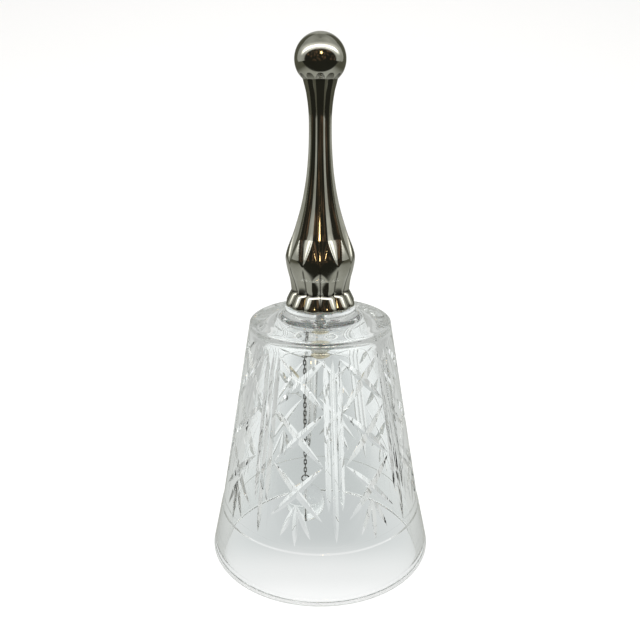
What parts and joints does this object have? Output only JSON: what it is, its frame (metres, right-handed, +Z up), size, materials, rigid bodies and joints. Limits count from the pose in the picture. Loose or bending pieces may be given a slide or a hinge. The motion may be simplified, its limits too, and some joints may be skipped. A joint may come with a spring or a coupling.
{
  "type": "glass hand bell",
  "caption": "Cut crystal hand bell with a fluted plated handle, a ball finial and a crystal clapper on a fine chain.",
  "frame": {"origin": "centre of the plane of the rim, on the axis of the bell", "axes": "+Z up along the axis of the bell, from the rim to the ball of the handle; -Y is the front, and the chain hangs on the -X side of the axis"},
  "size_m": [0.0792, 0.0792, 0.1778],
  "materials": {
    "cut_crystal": "polished clear lead crystal with mitre cuts",
    "plated_silver": "mirror polished silver plate",
    "chain_metal": "bright drawn wire, slightly tarnished",
    "stud_steel": "turned steel",
    "clear_washer": "clear soft washer",
    "clapper_crystal": "polished clear crystal ball"
  },
  "bodies": {
    "bell": {"glass_bell": "cut_crystal", "handle": "plated_silver", "handle_collar": "plated_silver", "stud": "stud_steel", "top_washer": "clear_washer", "inner_washer": "clear_washer", "neck_cone": "plated_silver", "ball_nut": "plated_silver", "nut_eye": "chain_metal"},
    "top_ring": {"top_ring": "chain_metal"},
    "link_01": {"chain_link_01": "chain_metal"},
    "link_02": {"chain_link_02": "chain_metal"},
    "link_03": {"chain_link_03": "chain_metal"},
    "link_04": {"chain_link_04": "chain_metal"},
    "link_05": {"chain_link_05": "chain_metal"},
    "link_06": {"chain_link_06": "chain_metal"},
    "link_07": {"chain_link_07": "chain_metal"},
    "link_08": {"chain_link_08": "chain_metal"},
    "link_09": {"chain_link_09": "chain_metal"},
    "link_10": {"chain_link_10": "chain_metal"},
    "link_11": {"chain_link_11": "chain_metal"},
    "link_12": {"chain_link_12": "chain_metal"},
    "link_13": {"chain_link_13": "chain_metal"},
    "link_14": {"chain_link_14": "chain_metal"},
    "link_15": {"chain_link_15": "chain_metal"},
    "link_16": {"chain_link_16": "chain_metal"},
    "link_17": {"chain_link_17": "chain_metal"},
    "link_18": {"chain_link_18": "chain_metal"},
    "link_19": {"chain_link_19": "chain_metal"},
    "link_20": {"chain_link_20": "chain_metal"},
    "link_21": {"chain_link_21": "chain_metal"},
    "link_22": {"chain_link_22": "chain_metal"},
    "link_23": {"chain_link_23": "chain_metal"},
    "link_24": {"chain_link_24": "chain_metal"},
    "link_25": {"chain_link_25": "chain_metal"},
    "link_26": {"chain_link_26": "chain_metal"},
    "link_27": {"chain_link_27": "chain_metal"},
    "link_28": {"chain_link_28": "chain_metal"},
    "link_29": {"chain_link_29": "chain_metal"},
    "ring": {"end_ring": "chain_metal"},
    "clapper": {"clapper_pin": "chain_metal", "clapper_ball": "clapper_crystal"}
  },
  "joints": [
    {"name": "top_ring_swing", "type": "hinge", "parent": "bell", "child": "top_ring", "pos_m": [-0.0054, 0, 0.07475], "axis": [0, -1, 0], "range_deg": [-18, 28]},
    {"name": "link_01_swing", "type": "hinge", "parent": "top_ring", "child": "link_01", "pos_m": [-0.0054, 0, 0.07355], "axis": [-1, 0, 0], "range_deg": [-23, 23]},
    {"name": "link_02_swing", "type": "hinge", "parent": "link_01", "child": "link_02", "pos_m": [-0.0054, 0, 0.07199], "axis": [0, 1, 0], "range_deg": [-30, 19]},
    {"name": "link_03_swing", "type": "hinge", "parent": "link_02", "child": "link_03", "pos_m": [-0.0054, 0, 0.07039], "axis": [-1, 0, 0], "range_deg": [-24, 24]},
    {"name": "link_04_swing", "type": "hinge", "parent": "link_03", "child": "link_04", "pos_m": [-0.0054, 0, 0.06879], "axis": [0, -1, 0], "range_deg": [-20, 32]},
    {"name": "link_05_swing", "type": "hinge", "parent": "link_04", "child": "link_05", "pos_m": [-0.0054, 0, 0.06719], "axis": [-1, 0, 0], "range_deg": [-26, 26]},
    {"name": "link_06_swing", "type": "hinge", "parent": "link_05", "child": "link_06", "pos_m": [-0.0054, 0, 0.06559], "axis": [0, 1, 0], "range_deg": [-34, 21]},
    {"name": "link_07_swing", "type": "hinge", "parent": "link_06", "child": "link_07", "pos_m": [-0.0054, 0, 0.06399], "axis": [-1, 0, 0], "range_deg": [-28, 28]},
    {"name": "link_08_swing", "type": "hinge", "parent": "link_07", "child": "link_08", "pos_m": [-0.0054, 0, 0.06239], "axis": [0, 1, 0], "range_deg": [-36, 23]},
    {"name": "link_09_swing", "type": "hinge", "parent": "link_08", "child": "link_09", "pos_m": [-0.0054, 0, 0.06079], "axis": [-1, 0, 0], "range_deg": [-30, 30]},
    {"name": "link_10_swing", "type": "hinge", "parent": "link_09", "child": "link_10", "pos_m": [-0.0054, 0, 0.05919], "axis": [0, 1, 0], "range_deg": [-39, 24]},
    {"name": "link_11_swing", "type": "hinge", "parent": "link_10", "child": "link_11", "pos_m": [-0.0054, 0, 0.05759], "axis": [1, 0, 0], "range_deg": [-32, 32]},
    {"name": "link_12_swing", "type": "hinge", "parent": "link_11", "child": "link_12", "pos_m": [-0.0054, 0, 0.05599], "axis": [0, -1, 0], "range_deg": [-26, 43]},
    {"name": "link_13_swing", "type": "hinge", "parent": "link_12", "child": "link_13", "pos_m": [-0.0054, 0, 0.05439], "axis": [1, 0, 0], "range_deg": [-35, 35]},
    {"name": "link_14_swing", "type": "hinge", "parent": "link_13", "child": "link_14", "pos_m": [-0.0054, 0, 0.05279], "axis": [0, -1, 0], "range_deg": [-29, 45]},
    {"name": "link_15_swing", "type": "hinge", "parent": "link_14", "child": "link_15", "pos_m": [-0.0054, 0, 0.05119], "axis": [1, 0, 0], "range_deg": [-39, 39]},
    {"name": "link_16_swing", "type": "hinge", "parent": "link_15", "child": "link_16", "pos_m": [-0.0054, 0, 0.04959], "axis": [0, 1, 0], "range_deg": [-45, 32]},
    {"name": "link_17_swing", "type": "hinge", "parent": "link_16", "child": "link_17", "pos_m": [-0.0054, 0, 0.04799], "axis": [1, 0, 0], "range_deg": [-43, 43]},
    {"name": "link_18_swing", "type": "hinge", "parent": "link_17", "child": "link_18", "pos_m": [-0.0054, 0, 0.04639], "axis": [0, -1, 0], "range_deg": [-35, 45]},
    {"name": "link_19_swing", "type": "hinge", "parent": "link_18", "child": "link_19", "pos_m": [-0.0054, 0, 0.04479], "axis": [1, 0, 0], "range_deg": [-45, 45]},
    {"name": "link_20_swing", "type": "hinge", "parent": "link_19", "child": "link_20", "pos_m": [-0.0054, 0, 0.04319], "axis": [0, -1, 0], "range_deg": [-40, 45]},
    {"name": "link_21_swing", "type": "hinge", "parent": "link_20", "child": "link_21", "pos_m": [-0.0054, 0, 0.04159], "axis": [-1, 0, 0], "range_deg": [-45, 45]},
    {"name": "link_22_swing", "type": "hinge", "parent": "link_21", "child": "link_22", "pos_m": [-0.0054, 0, 0.03999], "axis": [0, 1, 0], "range_deg": [-45, 45]},
    {"name": "link_23_swing", "type": "hinge", "parent": "link_22", "child": "link_23", "pos_m": [-0.0054, 0, 0.03839], "axis": [1, 0, 0], "range_deg": [-45, 45]},
    {"name": "link_24_swing", "type": "hinge", "parent": "link_23", "child": "link_24", "pos_m": [-0.0054, 0, 0.03679], "axis": [0, 1, 0], "range_deg": [-45, 45]},
    {"name": "link_25_swing", "type": "hinge", "parent": "link_24", "child": "link_25", "pos_m": [-0.0054, 0, 0.03519], "axis": [-1, 0, 0], "range_deg": [-45, 45]},
    {"name": "link_26_swing", "type": "hinge", "parent": "link_25", "child": "link_26", "pos_m": [-0.0054, 0, 0.03359], "axis": [0, 1, 0], "range_deg": [-45, 45]},
    {"name": "link_27_swing", "type": "hinge", "parent": "link_26", "child": "link_27", "pos_m": [-0.0054, 0, 0.03199], "axis": [1, 0, 0], "range_deg": [-45, 45]},
    {"name": "link_28_swing", "type": "hinge", "parent": "link_27", "child": "link_28", "pos_m": [-0.0054, 0, 0.03039], "axis": [0, -1, 0], "range_deg": [-45, 45]},
    {"name": "link_29_swing", "type": "hinge", "parent": "link_28", "child": "link_29", "pos_m": [-0.0054, 0, 0.02879], "axis": [1, 0, 0], "range_deg": [-45, 45]},
    {"name": "ring_swing", "type": "hinge", "parent": "link_29", "child": "ring", "pos_m": [-0.0054, 0, 0.02719], "axis": [0, 1, 0], "range_deg": [-45, 45]},
    {"name": "clapper_swing", "type": "hinge", "parent": "ring", "child": "clapper", "pos_m": [-0.0054, 0, 0.02502], "axis": [-1, 0, 0], "range_deg": [-45, 45]}
  ]
}
